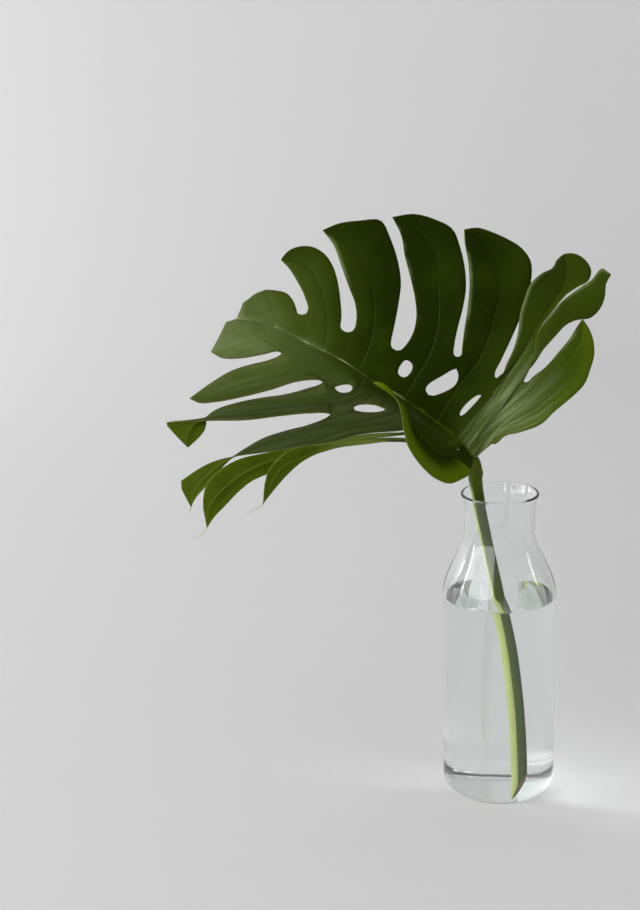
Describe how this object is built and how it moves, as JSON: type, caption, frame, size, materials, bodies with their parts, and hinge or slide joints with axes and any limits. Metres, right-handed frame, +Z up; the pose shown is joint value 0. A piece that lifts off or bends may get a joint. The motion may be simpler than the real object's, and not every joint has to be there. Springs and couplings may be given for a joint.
{
  "type": "monstera leaf in a glass vase",
  "caption": "Cut monstera leaf with deep slits and holes, standing in a clear glass carafe vase partly filled with water.",
  "frame": {"origin": "centre of the carafe's flat foot, on its axis", "axes": "+Z up along the carafe's axis, +X to the right and +Y away from the viewer who faces the leaf's upper side"},
  "size_m": [0.3551, 0.1946, 0.4885],
  "materials": {
    "glass": "clear, polished",
    "water": "still and clear",
    "stalk": "smooth, satin",
    "blade": "waxy, satin"
  },
  "bodies": {
    "root": {"glass_vase": "glass", "water": "water", "leaf_stalk": "stalk", "leaf_blade": "blade"}
  },
  "joints": []
}
